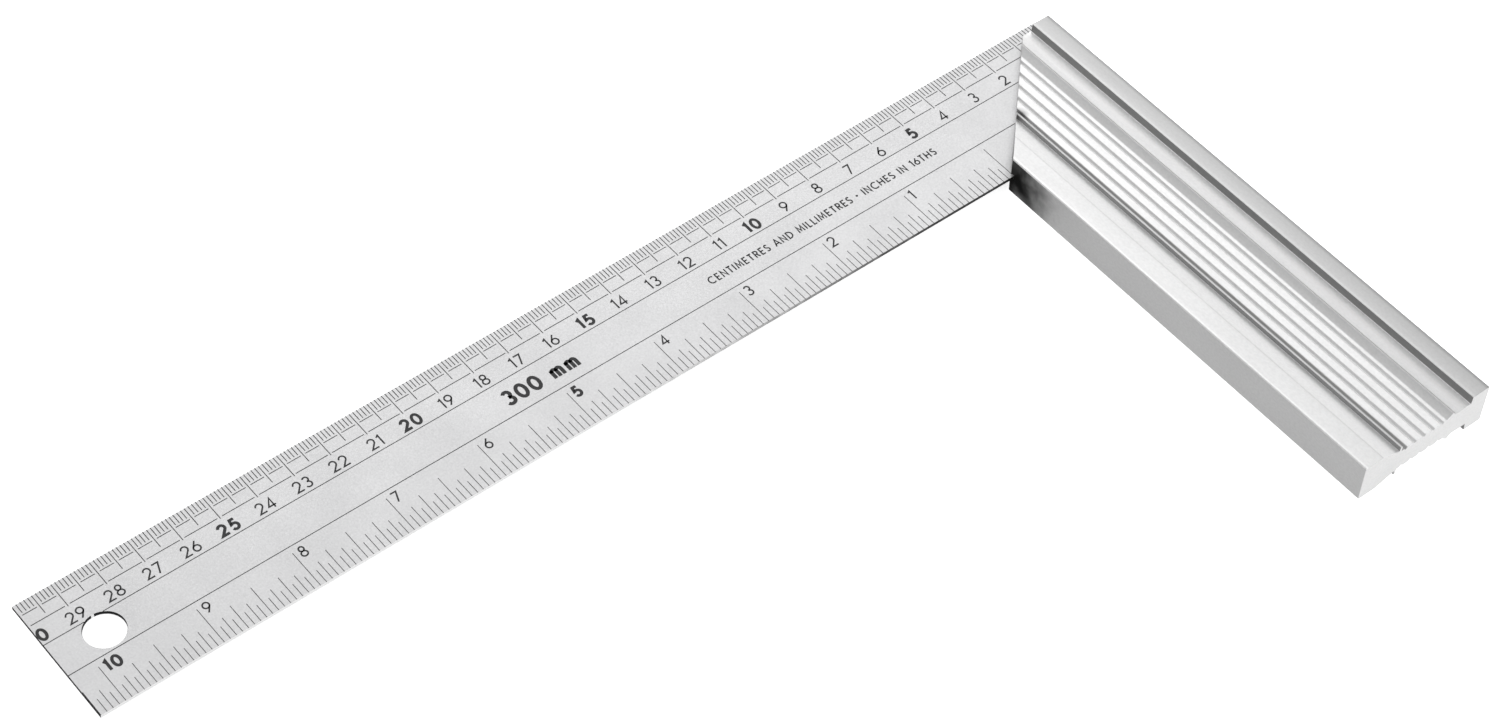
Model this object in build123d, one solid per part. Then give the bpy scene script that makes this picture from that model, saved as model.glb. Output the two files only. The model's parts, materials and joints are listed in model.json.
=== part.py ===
from build123d import *
import os

# Angle square: a graduated steel blade bonded at a right angle into an extruded aluminium stock.
# Frame: the origin is the inside corner, on the blade's mid-plane. +X runs along the blade to its
# tip, +Y along the stock away from the blade, +Z out of the upper face. Millimetres.

BLADE_LENGTH = 300.0
BLADE_WIDTH = 36.0
BLADE_THICKNESS = 1.0
HANG_HOLE_RADIUS = 5.0
HANG_HOLE_FROM_TIP = 12.9
HANG_HOLE_FROM_OUTER_EDGE = 17.5

STOCK_WIDTH = 39.5
STOCK_LENGTH = 150.0
SQUARE_END_SETBACK = 3.8
MITRE_SETBACK = 1.0
EDGE_BREAK = 0.3

# Half heights of the extrusion, measured up from the mid-plane. The section is the same below.
PAD_HEIGHT = 5.5
FACET_FOOT_HEIGHT = 3.6
LAND_HEIGHT = 5.0
RIB_HEIGHT = 3.3
RIDGE_HEIGHT = 4.7
RECESS_HEIGHT = 3.6
FLANGE_HEIGHT = 5.9

# Distances of the section's features from the stock's outer face.
PAD_CREASE = 34.1
FACET_FOOT = 28.5
LAND_INNER = 28.35
LAND_OUTER = 27.8
RIDGE_FOOT = 13.2
RIDGE_TOP = 11.4
RIDGE_BACK = 10.3
FLANGE_WALL_FOOT = 5.6
FLANGE_WALL_TOP = 5.4

FIRST_GROOVE = 26.4
GROOVE_PITCH = 2.95
GROOVE_COUNT = 5
GROOVE_WIDTH = 1.1
GROOVE_DEPTH = 0.6

BOND_THICKNESS = 0.1
BOND_INSET = 0.5

OUTER_FACE_X = -STOCK_WIDTH
BLADE_OUTER_Y = -BLADE_WIDTH
SQUARE_END_Y = BLADE_OUTER_Y + SQUARE_END_SETBACK
STOCK_FAR_Y = SQUARE_END_Y + STOCK_LENGTH
MITRE_START_X = SQUARE_END_Y + MITRE_SETBACK
BLADE_TIP_X = OUTER_FACE_X + BLADE_LENGTH


def build_blade():
    """Flat strip with the hang hole near its tip."""
    strip = extrude(
        Pos(OUTER_FACE_X, BLADE_OUTER_Y, -BLADE_THICKNESS / 2)
        * Rectangle(BLADE_LENGTH, BLADE_WIDTH, align=Align.MIN),
        BLADE_THICKNESS,
    )
    hole = Cylinder(HANG_HOLE_RADIUS, 3 * BLADE_THICKNESS)
    return strip - Pos(
        BLADE_TIP_X - HANG_HOLE_FROM_TIP, BLADE_OUTER_Y + HANG_HOLE_FROM_OUTER_EDGE, 0
    ) * hole


def upper_outline():
    """Section points above the mid-plane, from the inner face to the outer face."""
    points = [
        (STOCK_WIDTH, PAD_HEIGHT - EDGE_BREAK),
        (STOCK_WIDTH - EDGE_BREAK, PAD_HEIGHT),
        (PAD_CREASE, PAD_HEIGHT),
        (FACET_FOOT, FACET_FOOT_HEIGHT),
        (LAND_INNER, LAND_HEIGHT),
        (LAND_OUTER, LAND_HEIGHT),
        (LAND_OUTER, RIB_HEIGHT),
    ]
    for index in range(GROOVE_COUNT):
        centre = FIRST_GROOVE - index * GROOVE_PITCH
        points.append((centre + GROOVE_WIDTH / 2, RIB_HEIGHT))
        points.append((centre, RIB_HEIGHT - GROOVE_DEPTH))
        points.append((centre - GROOVE_WIDTH / 2, RIB_HEIGHT))
    points += [
        (RIDGE_FOOT, RIB_HEIGHT),
        (RIDGE_TOP, RIDGE_HEIGHT),
        (RIDGE_BACK, RECESS_HEIGHT),
        (FLANGE_WALL_FOOT, RECESS_HEIGHT),
        (FLANGE_WALL_TOP, FLANGE_HEIGHT),
        (EDGE_BREAK, FLANGE_HEIGHT),
        (0.0, FLANGE_HEIGHT - EDGE_BREAK),
    ]
    return [(OUTER_FACE_X + distance, height) for distance, height in points]


def stock_plan():
    """Plan of the stock: mitred against the blade, square at both ends."""
    return Polyline(
        (OUTER_FACE_X, SQUARE_END_Y),
        (MITRE_START_X, SQUARE_END_Y),
        (0, -MITRE_SETBACK),
        (0, STOCK_FAR_Y),
        (OUTER_FACE_X, STOCK_FAR_Y),
        close=True,
    )


def build_stock():
    """Ribbed extrusion, mitred at 45 degrees and slotted for the blade."""
    upper = upper_outline()
    lower = [(x, -z) for x, z in reversed(upper)]
    section = make_face(Polyline(*upper, *lower, close=True).edges())
    bar = extrude(Plane.XZ.offset(-STOCK_FAR_Y) * section, STOCK_LENGTH)
    plan = extrude(Pos(0, 0, -FLANGE_HEIGHT) * make_face(stock_plan().edges()), 2 * FLANGE_HEIGHT)
    slot_height = BLADE_THICKNESS + 2 * BOND_THICKNESS
    slot = extrude(
        Pos(OUTER_FACE_X, BLADE_OUTER_Y, -slot_height / 2)
        * Rectangle(STOCK_WIDTH, BLADE_WIDTH, align=Align.MIN),
        slot_height,
    )
    return (bar & plan) - slot


def build_bond_film(bottom):
    """Adhesive layer between one face of the blade and the slot."""
    outline = Polyline(
        (OUTER_FACE_X + BOND_INSET, SQUARE_END_Y + BOND_INSET),
        (MITRE_START_X, SQUARE_END_Y + BOND_INSET),
        (-BOND_INSET, -MITRE_SETBACK),
        (-BOND_INSET, 0),
        (OUTER_FACE_X + BOND_INSET, 0),
        close=True,
    )
    return extrude(Pos(0, 0, bottom) * make_face(outline.edges()), BOND_THICKNESS)


def main():
    os.makedirs("parts", exist_ok=True)
    nodes = {
        "blade": build_blade(),
        "stock": build_stock(),
        "bond_film_upper": build_bond_film(BLADE_THICKNESS / 2),
        "bond_film_lower": build_bond_film(-BLADE_THICKNESS / 2 - BOND_THICKNESS),
    }
    for name, solid in nodes.items():
        solid.label = name
        export_step(solid, f"parts/{name}.step")


main()
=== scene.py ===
import json
import math

import bpy
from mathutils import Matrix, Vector


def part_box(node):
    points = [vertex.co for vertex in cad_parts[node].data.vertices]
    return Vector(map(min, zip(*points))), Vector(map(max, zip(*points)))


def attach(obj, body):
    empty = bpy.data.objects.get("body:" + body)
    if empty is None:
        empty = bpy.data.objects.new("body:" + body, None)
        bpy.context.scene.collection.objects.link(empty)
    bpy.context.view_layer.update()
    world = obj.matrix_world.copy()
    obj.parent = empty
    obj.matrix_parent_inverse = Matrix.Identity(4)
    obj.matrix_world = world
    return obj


# Looks of the angle square: satin steel blade, extruded aluminium stock and the print on the blade.
# The frame is the CAD frame, in metres. Distances on the blade are given in millimetres, as (along,
# across): along runs from the metric zero at the stock's outer face to the tip, across from the
# outer edge inwards.

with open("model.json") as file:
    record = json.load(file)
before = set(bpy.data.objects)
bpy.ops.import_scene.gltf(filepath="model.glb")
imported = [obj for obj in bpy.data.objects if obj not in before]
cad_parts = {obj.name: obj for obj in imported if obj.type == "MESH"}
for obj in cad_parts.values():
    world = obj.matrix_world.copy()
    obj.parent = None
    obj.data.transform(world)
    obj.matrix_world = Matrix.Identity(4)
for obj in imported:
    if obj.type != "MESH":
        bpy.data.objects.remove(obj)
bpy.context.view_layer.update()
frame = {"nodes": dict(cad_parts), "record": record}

MM = 0.001
INCH = 25.4

blade_low, blade_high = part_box("blade")
stock_low, stock_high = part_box("stock")
BLADE_LENGTH = (blade_high.x - blade_low.x) / MM
BLADE_WIDTH = (blade_high.y - blade_low.y) / MM
INCH_ZERO = (stock_high.x - blade_low.x) / MM
SQUARE_END = (stock_low.y - blade_low.y) / MM
MITRE_SETBACK = 1.0
PRINT_UNDER_STOCK = 0.3

hang_hole = next(mount for mount in frame["record"]["mounts"] if mount["name"] == "hang_hole")
HOLE_ALONG = hang_hole["pos_m"][0] / MM - blade_low.x / MM
HOLE_ACROSS = hang_hole["pos_m"][1] / MM - blade_low.y / MM
HOLE_RADIUS = hang_hole["dims"]["r_mm"]
HOLE_CLEAR = 0.15

# The print is a film of ink, set a little into the steel so that no faces coincide.
INK_TOP = blade_high.z + 0.02 * MM
INK_BOTTOM = blade_high.z - 0.01 * MM
TICK_WIDTH = 0.2
INCH_TICK_WIDTH = 0.16
LINE_WIDTH = 0.2

# Lengths of the ticks and places of the four lines along the blade. Inch ticks go by sixteenths.
MM_TICK = 2.8
HALF_CM_TICK = 5.85
CM_TICK = 7.35
OUTER_LINE = 3.4
SECOND_LINE = 6.9
THIRD_LINE = 13.05
FOURTH_LINE = 23.1
LINE_GAP = 0.62
INCH_TICKS = {16: 11.0, 8: 8.75, 4: 7.4, 2: 5.7, 1: 4.0}

# Lettering: where its lines stand, how high it is and how thick its pen strokes are.
METRIC_BASELINE = 11.95
METRIC_HEIGHT = 3.1
INCH_BASELINE = 27.4
INCH_HEIGHT = 2.95
INCH_NUMERAL_GAP = 1.3
THIN_STROKE = 0.4
BOLD_STROKE = 0.75
GLYPH_GAP = 0.36
LENGTH_MARK = {"along": 179.0, "baseline": 20.1, "height": 3.9, "pen": 0.95}
LEGEND = {"along": 119.3, "baseline": 19.2, "height": 2.1, "pen": 0.36, "clear": 0.2}

ARC_STEP = math.radians(15)

# How bright the stock's faces are across its section, by distance in mm from its outer face: the finish's
# own tone, with painted shade and painted highlight where the light falls differently on each band.
SECTION_TONE_AND_SHADE = (
    (0.3, 0.30), (1.2, 0.50), (4.4, 0.58), (5.4, 0.72), (5.7, 1.0), (6.6, 0.96), (7.4, 0.80),
    (10.2, 0.68), (11.4, 0.72), (13.4, 0.86), (25.6, 0.84), (26.0, 0.50), (26.7, 0.50), (27.8, 0.36),
    (27.95, 0.40), (28.1, 0.66), (28.4, 0.66), (28.7, 0.94), (30.5, 1.0), (33.8, 0.96), (34.1, 0.70),
    (34.5, 0.76), (38.6, 0.78), (39.2, 1.0),
)
SIDE_TINT = 0.8
# The walls inside the section are painted dark, as shade.
WALL_SHADE = 0.3
TINT_VARIATION = 0.02
# Where painted shade darkens corners: between blade and stock, and where the step beside the land meets the
# mitre.
INSIDE_CORNER = (0.0, 0.0, 0.0)
STEP_ACROSS = 27.5
STEP_CORNER = (stock_low.x + STEP_ACROSS * MM, stock_low.x + (STEP_ACROSS - MITRE_SETBACK) * MM, 3.3 * MM)
DARKEST_CORNER_SHADE = 0.02

# The direction towards the broad key light, which stands above the camera.
KEY_LIGHT = (0.25, 0.54, 0.80)
KEY_SPREAD = 70
KEY_STRENGTH = 0.76
# The softbox hangs behind the blade, so that it mirrors in the faces that look up.
SOFTBOX_PLACE = (-0.30, -0.84, 0.80)
SOFTBOX_TARGET = (0.0, -0.05, 0.0)
SOFTBOX_SIZE = (1.7, 0.9)
SOFTBOX_POWER = 6.5
# The floor glows a little, so that it stays white without a glaring lamp.
FLOOR_GLOW = 0.65
# The room's own light changes evenly with direction: a level, and how much each axis adds to it.
ROOM_LEVEL = 0.59
ROOM_SLOPE = (-0.24, 0.34, -0.01)

CAMERA_PLACE = (0.44409, 0.40470, 0.63763)
CAMERA_ANGLES = (38.625, -0.087, 142.877)
CAMERA_LENS = 86.21
CAMERA_SHIFT = (0.125, 0.0516)


def arc(centre, radii, start, end):
    """Points on an ellipse from one angle to another, in degrees."""
    start, end = math.radians(start), math.radians(end)
    count = max(2, round(abs(end - start) / ARC_STEP))
    angles = [start + (end - start) * i / count for i in range(count + 1)]
    return [(centre[0] + radii[0] * math.cos(a), centre[1] + radii[1] * math.sin(a)) for a in angles]


def ring(centre, radii):
    """A closed loop, given without its repeated last point."""
    return arc(centre, radii, 0, 360)[:-1]


def turned(strokes, width):
    """The same strokes turned half a turn in their cell."""
    return [(closed, [(width - x, 1 - y) for x, y in points]) for closed, points in strokes]


def open_strokes(*lines):
    return [(False, line) for line in lines]


def digit_shapes():
    """Plain geometric numerals, one unit high: width, then (closed, points) for each stroke."""
    six_tail = [(0.45, 0.98), *arc((0.3, 0.3), (0.27, 0.28), 145, 165)]
    six = [(True, ring((0.3, 0.3), (0.27, 0.28))), (False, six_tail)]
    five_bowl = arc((0.29, 0.31), (0.27, 0.29), 125, -152)
    return {
        "0": (0.62, [(True, ring((0.31, 0.5), (0.29, 0.48)))]),
        "1": (0.26, open_strokes([(0.02, 0.83), (0.22, 0.97), (0.22, 0.0)])),
        "2": (0.6, open_strokes([*arc((0.3, 0.7), (0.26, 0.28), 170, -38), (0.04, 0.02), (0.6, 0.02)])),
        "3": (0.56, open_strokes(
            arc((0.27, 0.75), (0.22, 0.23), 150, -90), arc((0.27, 0.27), (0.26, 0.25), 90, -155))),
        "4": (0.64, open_strokes([(0.46, 0.0), (0.46, 0.96), (0.02, 0.24), (0.64, 0.24)])),
        "5": (0.58, open_strokes([(0.52, 0.97), (0.18, 0.97), (0.1, 0.54), *five_bowl])),
        "6": (0.6, six),
        "7": (0.56, open_strokes([(0.02, 0.97), (0.54, 0.97), (0.18, 0.0)])),
        "8": (0.6, [(True, ring((0.3, 0.75), (0.21, 0.23))), (True, ring((0.3, 0.27), (0.27, 0.25)))]),
        "9": (0.6, turned(six, 0.6)),
    }


def letter_shapes():
    """Plain geometric capitals for the legend, and the m of the length mark."""
    arch = [*arc((0.2, 0.46), (0.16, 0.2), 180, 0), (0.36, 0.0)]
    d_bowl = arc((0.2, 0.5), (0.44, 0.48), -75, 75)
    r_bowl = arc((0.26, 0.73), (0.22, 0.24), 75, -75)
    return {
        " ": (0.25, []),
        "A": (0.72, open_strokes([(0.02, 0), (0.36, 1), (0.7, 0)], [(0.14, 0.32), (0.58, 0.32)])),
        "C": (0.78, open_strokes(arc((0.46, 0.5), (0.42, 0.48), 48, 312))),
        "D": (0.68, [(True, [(0.06, 0.02), (0.2, 0.02), *d_bowl, (0.2, 0.98), (0.06, 0.98)])]),
        "E": (0.5, open_strokes(
            [(0.48, 0.97), (0.06, 0.97), (0.06, 0.03), (0.48, 0.03)],
            [(0.06, 0.5), (0.44, 0.5)])),
        "H": (0.66, open_strokes([(0.06, 0), (0.06, 1)], [(0.6, 0), (0.6, 1)], [(0.06, 0.5), (0.6, 0.5)])),
        "I": (0.12, open_strokes([(0.06, 0), (0.06, 1)])),
        "L": (0.42, open_strokes([(0.06, 1), (0.06, 0.03), (0.42, 0.03)])),
        "M": (0.8, open_strokes([(0.04, 0), (0.12, 0.98), (0.4, 0.2), (0.68, 0.98), (0.76, 0)])),
        "N": (0.68, open_strokes([(0.06, 0), (0.06, 0.98), (0.62, 0.02), (0.62, 1)])),
        "R": (0.54, open_strokes(
            [(0.06, 0), (0.06, 0.97), (0.26, 0.97), *r_bowl, (0.26, 0.49), (0.06, 0.49)],
            [(0.28, 0.49), (0.52, 0)])),
        "S": (0.5, open_strokes(
            [*arc((0.25, 0.75), (0.19, 0.22), 30, 250), *arc((0.25, 0.26), (0.21, 0.23), 70, -150)])),
        "T": (0.52, open_strokes([(0, 0.97), (0.52, 0.97)], [(0.26, 0.97), (0.26, 0)])),
        "X": (0.6, open_strokes([(0.03, 0), (0.57, 1)], [(0.03, 1), (0.57, 0)])),
        "*": (0.24, [(True, ring((0.12, 0.5), (0.06, 0.06)))]),
        "m": (0.74, open_strokes([(0.04, 0), (0.04, 0.68)], arch, [(x + 0.32, y) for x, y in arch])),
    }


GLYPHS = {**digit_shapes(), **letter_shapes()}


class Print:
    """Collects closed slivers of ink and makes them one mesh."""

    def __init__(self, name):
        self.name = name
        self.points = []
        self.faces = []

    def strip(self, left, right, closed=False):
        """A closed sliver between two edges that run side by side, in blade millimetres."""
        base = len(self.points)
        for edge, height in ((left, INK_TOP), (right, INK_TOP), (left, INK_BOTTOM), (right, INK_BOTTOM)):
            self.points += [(blade_low.x + a * MM, blade_low.y + c * MM, height) for a, c in edge]
        count = len(left)
        top_left, top_right, low_left, low_right = (base + i * count for i in range(4))
        for i in range(count if closed else count - 1):
            j = (i + 1) % count
            self.faces.append((top_left + i, top_left + j, top_right + j, top_right + i))
            self.faces.append((low_right + i, low_right + j, low_left + j, low_left + i))
            self.faces.append((low_left + i, low_left + j, top_left + j, top_left + i))
            self.faces.append((top_right + i, top_right + j, low_right + j, low_right + i))
        if not closed:
            last = count - 1
            self.faces.append((top_left, top_right, low_right, low_left))
            self.faces.append((low_left + last, low_right + last, top_right + last, top_left + last))

    def bar(self, along, across):
        """A straight bar that covers two ranges."""
        left, right = ([(spot, edge) for spot in along] for edge in (across[1], across[0]))
        self.strip(left, right)

    def stroke(self, points, width, closed):
        """A pen line of even width, mitred at its corners."""
        edges = pen_edges(points, width / 2, closed)
        self.strip(*edges, closed)

    def text(self, words, along, baseline, height, pen, anchor=0.0, clear=GLYPH_GAP):
        """Words that read from the tip towards the heel. Anchor 0 starts them at along, 0.5 centres them."""
        widths = [GLYPHS[letter][0] * height for letter in words]
        gap = clear + pen
        start = along + anchor * (sum(widths) + gap * (len(words) - 1))
        for letter, width in zip(words, widths):
            for closed, points in GLYPHS[letter][1]:
                placed = [(start - x * height, baseline - y * height) for x, y in points]
                self.stroke(placed, pen, closed)
            start -= width + gap

    def finish(self, material):
        mesh = bpy.data.meshes.new(self.name)
        mesh.from_pydata(self.points, [], self.faces)
        mesh.validate()
        mesh.materials.append(material)
        piece = bpy.data.objects.new(self.name, mesh)
        bpy.context.scene.collection.objects.link(piece)
        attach(piece, "root")


def pen_edges(points, half, closed):
    """The two edges of a pen line, half a width to each side of its points."""
    count = len(points)
    spots = [Vector(p) for p in points]
    left, right = [], []
    for i, spot in enumerate(spots):
        before = spots[i - 1] if closed or i > 0 else None
        after = spots[(i + 1) % count] if closed or i < count - 1 else None
        into = (spot - before).normalized() if before is not None else (after - spot).normalized()
        out = (after - spot).normalized() if after is not None else into
        along = (into + out).normalized()
        side = Vector((-along.y, along.x))
        reach = half / max(0.4, side.dot(Vector((-out.y, out.x))))
        left.append(tuple(spot + side * reach))
        right.append(tuple(spot - side * reach))
    return left, right


def covered_from(along):
    """Across the blade, where the stock starts to cover it."""
    return max(SQUARE_END, along - INCH_ZERO + BLADE_WIDTH - MITRE_SETBACK)


def uncovered_from(across):
    """Along the blade, where a line at this distance from the outer edge comes out of the stock."""
    if across < SQUARE_END:
        return 0.0
    return across + INCH_ZERO - BLADE_WIDTH + MITRE_SETBACK - PRINT_UNDER_STOCK


def metric_ticks():
    ticks = Print("metric_ticks")
    for along in range(1, round(BLADE_LENGTH)):
        length = CM_TICK if along % 10 == 0 else HALF_CM_TICK if along % 5 == 0 else MM_TICK
        reach = min(length, covered_from(along) + PRINT_UNDER_STOCK)
        ticks.bar((along - TICK_WIDTH / 2, along + TICK_WIDTH / 2), (0.0, reach))
    return ticks


def inch_ticks():
    ticks = Print("inch_ticks")
    steps = int((BLADE_LENGTH - INCH_ZERO) / INCH * 16)
    for step in range(steps + 1):
        along = INCH_ZERO + step * INCH / 16
        length = next(INCH_TICKS[unit] for unit in INCH_TICKS if step % unit == 0)
        reach = min(BLADE_WIDTH, covered_from(along) + PRINT_UNDER_STOCK)
        ticks.bar((along - INCH_TICK_WIDTH / 2, along + INCH_TICK_WIDTH / 2), (BLADE_WIDTH - length, reach))
    return ticks


def broken_line(lines, across, spacing):
    """A line along the blade that stops short of every tick that crosses it."""
    for start in range(0, round(BLADE_LENGTH), spacing):
        first = max(start + LINE_GAP, uncovered_from(across))
        last = start + spacing - LINE_GAP
        if last - first > LINE_GAP:
            lines.bar((first, last), (across - LINE_WIDTH / 2, across + LINE_WIDTH / 2))


def whole_line(lines, across):
    """A line along the blade that only the hang hole interrupts."""
    stretches = [(uncovered_from(across), BLADE_LENGTH)]
    offset = abs(across - HOLE_ACROSS)
    if offset < HOLE_RADIUS:
        half = math.sqrt(HOLE_RADIUS ** 2 - offset ** 2) + HOLE_CLEAR
        stretches = [(stretches[0][0], HOLE_ALONG - half), (HOLE_ALONG + half, BLADE_LENGTH)]
    for stretch in stretches:
        lines.bar(stretch, (across - LINE_WIDTH / 2, across + LINE_WIDTH / 2))


def scale_lines():
    lines = Print("scale_lines")
    broken_line(lines, OUTER_LINE, 5)
    broken_line(lines, SECOND_LINE, 10)
    whole_line(lines, THIRD_LINE)
    whole_line(lines, FOURTH_LINE)
    return lines


def metric_numerals():
    numerals = Print("metric_numerals")
    last = round(BLADE_LENGTH / 10)
    for value in range(2, last):
        pen = BOLD_STROKE if value % 5 == 0 else THIN_STROKE
        numerals.text(str(value), 10 * value, METRIC_BASELINE, METRIC_HEIGHT, pen, anchor=0.5)
    # Of the last number only the nought is left on the blade.
    numerals.text("0", BLADE_LENGTH - BOLD_STROKE / 2, METRIC_BASELINE, METRIC_HEIGHT, BOLD_STROKE)
    return numerals


def inch_numerals():
    numerals = Print("inch_numerals")
    for value in range(1, int((BLADE_LENGTH - INCH_ZERO) / INCH) + 1):
        pen = BOLD_STROKE if value % 5 == 0 else THIN_STROKE
        along = INCH_ZERO + value * INCH - INCH_NUMERAL_GAP
        numerals.text(str(value), along, INCH_BASELINE, INCH_HEIGHT, pen)
    return numerals


def length_mark():
    mark = Print("length_mark")
    mark.text("300 mm", **LENGTH_MARK)
    return mark


def unit_legend():
    legend = Print("unit_legend")
    legend.text("CENTIMETRES AND MILLIMETRES * INCHES IN 16THS", **LEGEND)
    return legend


def new_material(name):
    material = bpy.data.materials.new(name)
    material.use_nodes = True
    nodes, links = material.node_tree.nodes, material.node_tree.links
    return material, nodes, links, nodes["Principled BSDF"]


def noise(nodes, links, vector, scale, detail=2.0):
    texture = nodes.new("ShaderNodeTexNoise")
    texture.inputs["Scale"].default_value = scale
    texture.inputs["Detail"].default_value = detail
    links.new(vector, texture.inputs["Vector"])
    return texture.outputs["Fac"]


def stretched(nodes, links, scales):
    """Object coordinates with their own scale on each axis."""
    place = nodes.new("ShaderNodeTexCoord")
    mapping = nodes.new("ShaderNodeMapping")
    mapping.inputs["Scale"].default_value = scales
    links.new(place.outputs["Object"], mapping.inputs["Vector"])
    return mapping.outputs["Vector"]


def span(nodes, links, value, low, high):
    """A 0 to 1 value brought to another range."""
    reach = nodes.new("ShaderNodeMapRange")
    reach.inputs["From Min"].default_value = 0.3
    reach.inputs["From Max"].default_value = 0.7
    reach.inputs["To Min"].default_value = low
    reach.inputs["To Max"].default_value = high
    links.new(value, reach.inputs["Value"])
    return reach.outputs["Result"]


def tint(nodes, links, value, dark, light):
    ramp = nodes.new("ShaderNodeValToRGB")
    ramp.color_ramp.elements[0].position = 0.3
    ramp.color_ramp.elements[0].color = (*dark, 1)
    ramp.color_ramp.elements[1].position = 0.7
    ramp.color_ramp.elements[1].color = (*light, 1)
    links.new(value, ramp.inputs["Fac"])
    return ramp.outputs["Color"]


def greys(nodes, links, value, level):
    """A grey that varies a little around a level."""
    return tint(nodes, links, value, (level - TINT_VARIATION,) * 3, (level + TINT_VARIATION,) * 3)


def bump(nodes, links, height, distance, strength):
    node = nodes.new("ShaderNodeBump")
    node.inputs["Distance"].default_value = distance
    node.inputs["Strength"].default_value = strength
    links.new(height, node.inputs["Height"])
    return node.outputs["Normal"]


def faces_along(nodes, links, axis, limit):
    """1 on faces whose normal lies along an axis, 0 on the others."""
    geometry = nodes.new("ShaderNodeNewGeometry")
    split = nodes.new("ShaderNodeSeparateXYZ")
    links.new(geometry.outputs["True Normal"], split.inputs["Vector"])
    size = nodes.new("ShaderNodeMath")
    size.operation = "ABSOLUTE"
    links.new(split.outputs[axis], size.inputs[0])
    over = nodes.new("ShaderNodeMath")
    over.operation = "GREATER_THAN"
    over.inputs[1].default_value = limit
    links.new(size.outputs["Value"], over.inputs[0])
    return over.outputs["Value"]


def mixed(nodes, links, factor, first, second, kind="FLOAT"):
    """The first where the factor is 0, the second where it is 1."""
    mix = nodes.new("ShaderNodeMix")
    mix.data_type = kind
    spots = {"FLOAT": (2, 3, 0), "RGBA": (6, 7, 2)}[kind]
    links.new(factor, mix.inputs[0])
    links.new(first, mix.inputs[spots[0]])
    links.new(second, mix.inputs[spots[1]])
    return mix.outputs[spots[2]]


def darkened(nodes, links, colour, level):
    """The same colour, multiplied by a level."""
    mix = nodes.new("ShaderNodeMix")
    mix.data_type = "RGBA"
    mix.blend_type = "MULTIPLY"
    mix.inputs[0].default_value = 1.0
    links.new(colour, mix.inputs[6])
    links.new(level, mix.inputs[7])
    return mix.outputs[2]


def speckled(nodes, links, colour, vector, scale, depth):
    """The same colour, darkened here and there by a fine speckle."""
    level = span(nodes, links, noise(nodes, links, vector, scale, 1), 1.0 - depth, 1.0)
    return darkened(nodes, links, colour, level)


def shaded_corner(nodes, links, colour, corner, reach, darkest):
    """The same colour with painted shade at a corner, which fades out unevenly over its reach."""
    place = nodes.new("ShaderNodeTexCoord")
    away = nodes.new("ShaderNodeVectorMath")
    away.operation = "DISTANCE"
    away.inputs[1].default_value = corner
    links.new(place.outputs["Object"], away.inputs[0])
    ragged = nodes.new("ShaderNodeMath")
    ragged.operation = "ADD"
    links.new(away.outputs["Value"], ragged.inputs[0])
    clouds = noise(nodes, links, stretched(nodes, links, (1, 1, 1)), 260, 4)
    links.new(span(nodes, links, clouds, -0.12 * reach, 0.12 * reach), ragged.inputs[1])
    fade = nodes.new("ShaderNodeMapRange")
    fade.interpolation_type = "SMOOTHSTEP"
    fade.inputs["From Min"].default_value = 0.1 * reach
    fade.inputs["From Max"].default_value = reach
    fade.inputs["To Min"].default_value = darkest
    fade.inputs["To Max"].default_value = 1.0
    links.new(ragged.outputs["Value"], fade.inputs["Value"])
    return darkened(nodes, links, colour, fade.outputs["Result"])


def steel_material():
    """Satin stainless: even, fine grained grey with soft patches, ground long edges with painted shade
    towards the stock, and end faces painted near black as shade.
    """
    material, nodes, links, shader = new_material("satin_stainless")
    evenly = stretched(nodes, links, (1, 1, 1))
    grain = noise(nodes, links, evenly, 2600, 3)
    patches = noise(nodes, links, evenly, 60, 4)
    face = tint(nodes, links, patches, (0.58, 0.58, 0.585), (0.63, 0.63, 0.635))
    ground = tint(nodes, links, grain, (0.86, 0.86, 0.86), (0.94, 0.94, 0.94))
    # The end faces are painted near black, as shade.
    end_shade = tint(nodes, links, grain, (0.004, 0.004, 0.005), (0.015, 0.015, 0.016))
    colour = speckled(nodes, links, face, evenly, 1900, 0.07)
    # Painted shade on the ground edges, darkest near the stock.
    ground = shaded_corner(nodes, links, ground, INSIDE_CORNER, 140 * MM, 0.03)
    colour = mixed(nodes, links, faces_along(nodes, links, "Y", 0.7), colour, ground, "RGBA")
    colour = mixed(nodes, links, faces_along(nodes, links, "X", 0.05), colour, end_shade, "RGBA")
    links.new(colour, shader.inputs["Base Color"])
    shader.inputs["Metallic"].default_value = 0.9
    links.new(span(nodes, links, grain, 0.4, 0.52), shader.inputs["Roughness"])
    links.new(bump(nodes, links, grain, 0.02 * MM, 0.35), shader.inputs["Normal"])
    return material


def section_tint(nodes, links):
    """The brightness of each band of the stock's section, on the faces that look up or down: the finish's
    tone with painted shade and painted highlight.
    """
    place = nodes.new("ShaderNodeTexCoord")
    split = nodes.new("ShaderNodeSeparateXYZ")
    links.new(place.outputs["Object"], split.inputs["Vector"])
    across = nodes.new("ShaderNodeMapRange")
    across.inputs["From Min"].default_value = stock_low.x
    across.inputs["From Max"].default_value = stock_high.x
    links.new(split.outputs["X"], across.inputs["Value"])
    ramp = nodes.new("ShaderNodeValToRGB")
    width = (stock_high.x - stock_low.x) / MM
    stops = ramp.color_ramp.elements
    while len(stops) < len(SECTION_TONE_AND_SHADE):
        stops.new(1.0)
    for stop, (distance, level) in zip(stops, SECTION_TONE_AND_SHADE):
        stop.position = distance / width
        stop.color = (level, level, level, 1)
    links.new(across.outputs["Result"], ramp.inputs["Fac"])
    return ramp.outputs["Color"], across.outputs["Result"]


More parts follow.
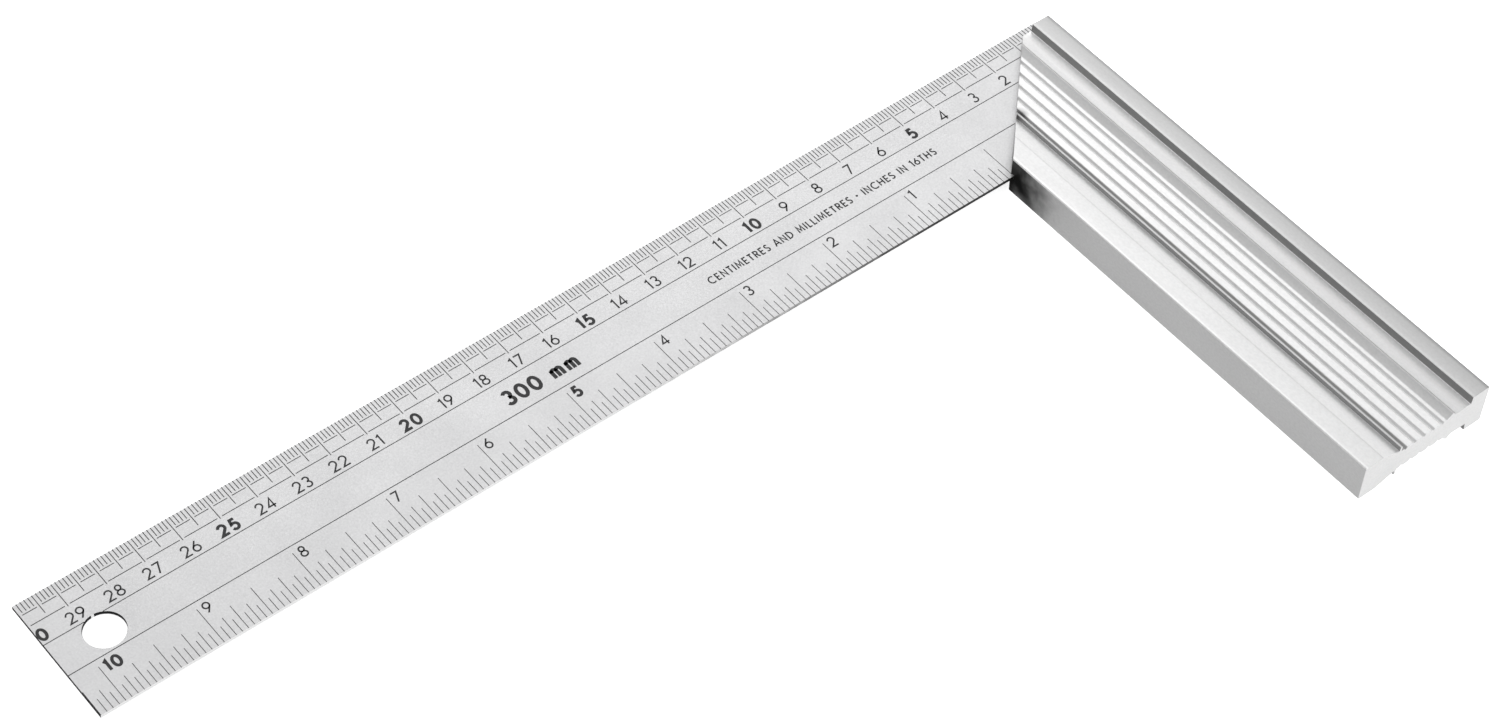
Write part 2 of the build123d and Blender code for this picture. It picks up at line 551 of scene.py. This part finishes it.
def aluminium_material():
    """Clear anodised extrusion: fine die lines along Y and sawn ends; painted shade on the walls inside the
    section and in its corners, and painted shade and highlight band by band across it.
    """
    material, nodes, links, shader = new_material("anodised_extrusion")
    die_lines = noise(nodes, links, stretched(nodes, links, (1, 0.012, 1)), 3200, 2)
    cloud = noise(nodes, links, stretched(nodes, links, (1, 0.4, 1)), 70, 3)
    saw_lines = noise(nodes, links, stretched(nodes, links, (0.05, 1, 1)), 2600, 2)
    relief = mixed(nodes, links, faces_along(nodes, links, "Y", 0.5), die_lines, saw_lines)
    # Painted shade and painted highlight band by band, over the finish's tone.
    band_tone_and_shade, across = section_tint(nodes, links)
    # Painted shade where the step beside the land meets the mitre, on the bands and on the wall.
    band_tone_and_shade = shaded_corner(nodes, links, band_tone_and_shade, STEP_CORNER, 3.5 * MM, DARKEST_CORNER_SHADE)
    side = greys(nodes, links, cloud, SIDE_TINT)
    # Painted shade: the walls inside the section are dark.
    wall_shade = greys(nodes, links, cloud, WALL_SHADE)
    wall_shade = shaded_corner(nodes, links, wall_shade, STEP_CORNER, 3.5 * MM, DARKEST_CORNER_SHADE)
    inside = nodes.new("ShaderNodeMath")
    inside.operation = "COMPARE"
    inside.inputs[1].default_value = 0.5
    inside.inputs[2].default_value = 0.48
    links.new(across, inside.inputs[0])
    shaded_wall_mask = nodes.new("ShaderNodeMath")
    shaded_wall_mask.operation = "MULTIPLY"
    links.new(inside.outputs["Value"], shaded_wall_mask.inputs[0])
    links.new(faces_along(nodes, links, "X", 0.9), shaded_wall_mask.inputs[1])
    # Painted shade on the sides, darkest in the inside corner between blade and stock.
    side = shaded_corner(nodes, links, side, INSIDE_CORNER, 17 * MM, DARKEST_CORNER_SHADE)
    upright = mixed(nodes, links, shaded_wall_mask.outputs["Value"], side, wall_shade, "RGBA")
    shade = mixed(nodes, links, faces_along(nodes, links, "Z", 0.5), upright, band_tone_and_shade, "RGBA")
    shade = speckled(nodes, links, shade, stretched(nodes, links, (1, 0.7, 1)), 1700, 0.06)
    links.new(shade, shader.inputs["Base Color"])
    shader.inputs["Metallic"].default_value = 0.7
    links.new(span(nodes, links, relief, 0.42, 0.52), shader.inputs["Roughness"])
    links.new(bump(nodes, links, relief, 0.01 * MM, 0.3), shader.inputs["Normal"])
    return material


def adhesive_material():
    """Cured epoxy: dull amber with a few paler patches."""
    material, nodes, links, shader = new_material("cured_epoxy")
    patches = noise(nodes, links, stretched(nodes, links, (1, 1, 1)), 400, 3)
    amber = tint(nodes, links, patches, (0.42, 0.33, 0.16), (0.56, 0.47, 0.27))
    links.new(amber, shader.inputs["Base Color"])
    links.new(span(nodes, links, patches, 0.35, 0.5), shader.inputs["Roughness"])
    return material


def ink_material():
    """Dense black print with a slightly uneven surface."""
    material, nodes, links, shader = new_material("scale_ink_black")
    grain = noise(nodes, links, stretched(nodes, links, (1, 1, 1)), 5000, 2)
    black = tint(nodes, links, grain, (0.008, 0.008, 0.009), (0.02, 0.02, 0.022))
    links.new(black, shader.inputs["Base Color"])
    links.new(span(nodes, links, grain, 0.5, 0.65), shader.inputs["Roughness"])
    return material


def floor_material():
    material, nodes, links, shader = new_material("pale_floor")
    patches = noise(nodes, links, stretched(nodes, links, (1, 1, 1)), 3, 2)
    white = tint(nodes, links, patches, (0.93, 0.93, 0.93), (0.95, 0.95, 0.95))
    links.new(white, shader.inputs["Base Color"])
    shader.inputs["Roughness"].default_value = 0.9
    shader.inputs["Specular IOR Level"].default_value = 0.1
    shader.inputs["Emission Color"].default_value = (1, 1, 1, 1)
    shader.inputs["Emission Strength"].default_value = FLOOR_GLOW
    return material


def soften_edges(node, width):
    """Breaks the sharp edges of a CAD node, as handling and deburring do."""
    modifiers = frame["nodes"][node].modifiers
    weld = modifiers.new("joined_faces", "WELD")
    weld.merge_threshold = 0.001 * MM
    bevel = modifiers.new("edge_break", "BEVEL")
    bevel.width = width
    bevel.segments = 2
    bevel.limit_method = "ANGLE"
    bevel.angle_limit = math.radians(25)


def dress(node, material):
    slots = frame["nodes"][node].data.materials
    slots.clear()
    slots.append(material)


def build_print():
    ink = ink_material()
    scales = (metric_ticks, inch_ticks, scale_lines)
    lettering = (metric_numerals, inch_numerals, length_mark, unit_legend)
    for part in (*scales, *lettering):
        part().finish(ink)


def build_floor():
    """A large flat sheet that the stock lies on."""
    half = 4.0
    mesh = bpy.data.meshes.new("floor")
    level = stock_low.z
    corners = [(-half, -half, level), (half, -half, level), (half, half, level), (-half, half, level)]
    mesh.from_pydata(corners, [], [(0, 1, 2, 3)])
    mesh.materials.append(floor_material())
    floor = bpy.data.objects.new("floor", mesh)
    bpy.context.scene.collection.objects.link(floor)
    # Left out of the mirrored surroundings, so that the white floor doesn't bleach the metal's sides.
    floor.visible_glossy = False


def build_shade():
    """A dark card under the blade's inner edge, for gloss only: it gives back the shade that the floor,
    which gloss doesn't see, would show there."""
    mesh = bpy.data.meshes.new("blade_shade")
    reach, depth = 120 * MM, 24 * MM
    top = blade_low.z - 0.2 * MM
    corners = [(0.0, -MM, top), (reach, -MM, top), (reach, -MM, top - depth), (0.0, -MM, top - depth)]
    mesh.from_pydata(corners, [], [(0, 1, 2, 3)])
    material, nodes, links, shader = new_material("black_card")
    grain = noise(nodes, links, stretched(nodes, links, (1, 1, 1)), 200)
    black = tint(nodes, links, grain, (0.004, 0.004, 0.004), (0.008, 0.008, 0.008))
    links.new(black, shader.inputs["Base Color"])
    shader.inputs["Roughness"].default_value = 0.9
    mesh.materials.append(material)
    card = bpy.data.objects.new("blade_shade", mesh)
    bpy.context.scene.collection.objects.link(card)
    card.visible_camera = False
    card.visible_diffuse = False
    card.visible_shadow = False


def distant_light(name, towards, spread, strength):
    """A soft light far away in one direction, so that it falls evenly over the whole floor."""
    data = bpy.data.lights.new(name, "SUN")
    data.energy = strength
    data.angle = math.radians(spread)
    light = bpy.data.objects.new(name, data)
    light.rotation_euler = Vector(towards).to_track_quat("Z", "Y").to_euler()
    bpy.context.scene.collection.objects.link(light)


def softbox(name, location, target, size, power):
    """A broad lamp that mirrors in the upper faces, and dims where its mirror image ends."""
    data = bpy.data.lights.new(name, "AREA")
    data.shape = "RECTANGLE"
    data.size, data.size_y = size
    data.energy = power
    light = bpy.data.objects.new(name, data)
    light.location = location
    light.rotation_euler = (Vector(target) - Vector(location)).to_track_quat("-Z", "Y").to_euler()
    bpy.context.scene.collection.objects.link(light)


def build_room():
    """Soft light from all around, that changes evenly with direction."""
    world = bpy.data.worlds.new("studio")
    world.use_nodes = True
    nodes, links = world.node_tree.nodes, world.node_tree.links
    place = nodes.new("ShaderNodeTexCoord")
    slope = nodes.new("ShaderNodeVectorMath")
    slope.operation = "DOT_PRODUCT"
    slope.inputs[1].default_value = ROOM_SLOPE
    links.new(place.outputs["Generated"], slope.inputs[0])
    level = nodes.new("ShaderNodeMath")
    level.operation = "ADD"
    level.inputs[1].default_value = ROOM_LEVEL
    links.new(slope.outputs["Value"], level.inputs[0])
    links.new(level.outputs["Value"], nodes["Background"].inputs["Strength"])
    nodes["Background"].inputs["Color"].default_value = (1, 1, 1, 1)
    bpy.context.scene.world = world


def build_lights():
    distant_light("key_light", KEY_LIGHT, KEY_SPREAD, KEY_STRENGTH)
    softbox("back_softbox", SOFTBOX_PLACE, SOFTBOX_TARGET, SOFTBOX_SIZE, SOFTBOX_POWER)
    build_room()


def build_camera():
    data = bpy.data.cameras.new("camera")
    data.sensor_width = 36
    data.lens = CAMERA_LENS
    data.shift_x, data.shift_y = CAMERA_SHIFT
    data.clip_start = 0.01
    camera = bpy.data.objects.new("camera", data)
    camera.location = CAMERA_PLACE
    camera.rotation_euler = [math.radians(angle) for angle in CAMERA_ANGLES]
    bpy.context.scene.collection.objects.link(camera)
    bpy.context.scene.camera = camera


dress("blade", steel_material())
dress("stock", aluminium_material())
epoxy = adhesive_material()
dress("bond_film_upper", epoxy)
dress("bond_film_lower", epoxy)
soften_edges("blade", 0.06 * MM)
soften_edges("stock", 0.12 * MM)
build_print()
build_floor()
build_shade()
build_lights()
build_camera()
bpy.context.scene.view_settings.view_transform = "Standard"
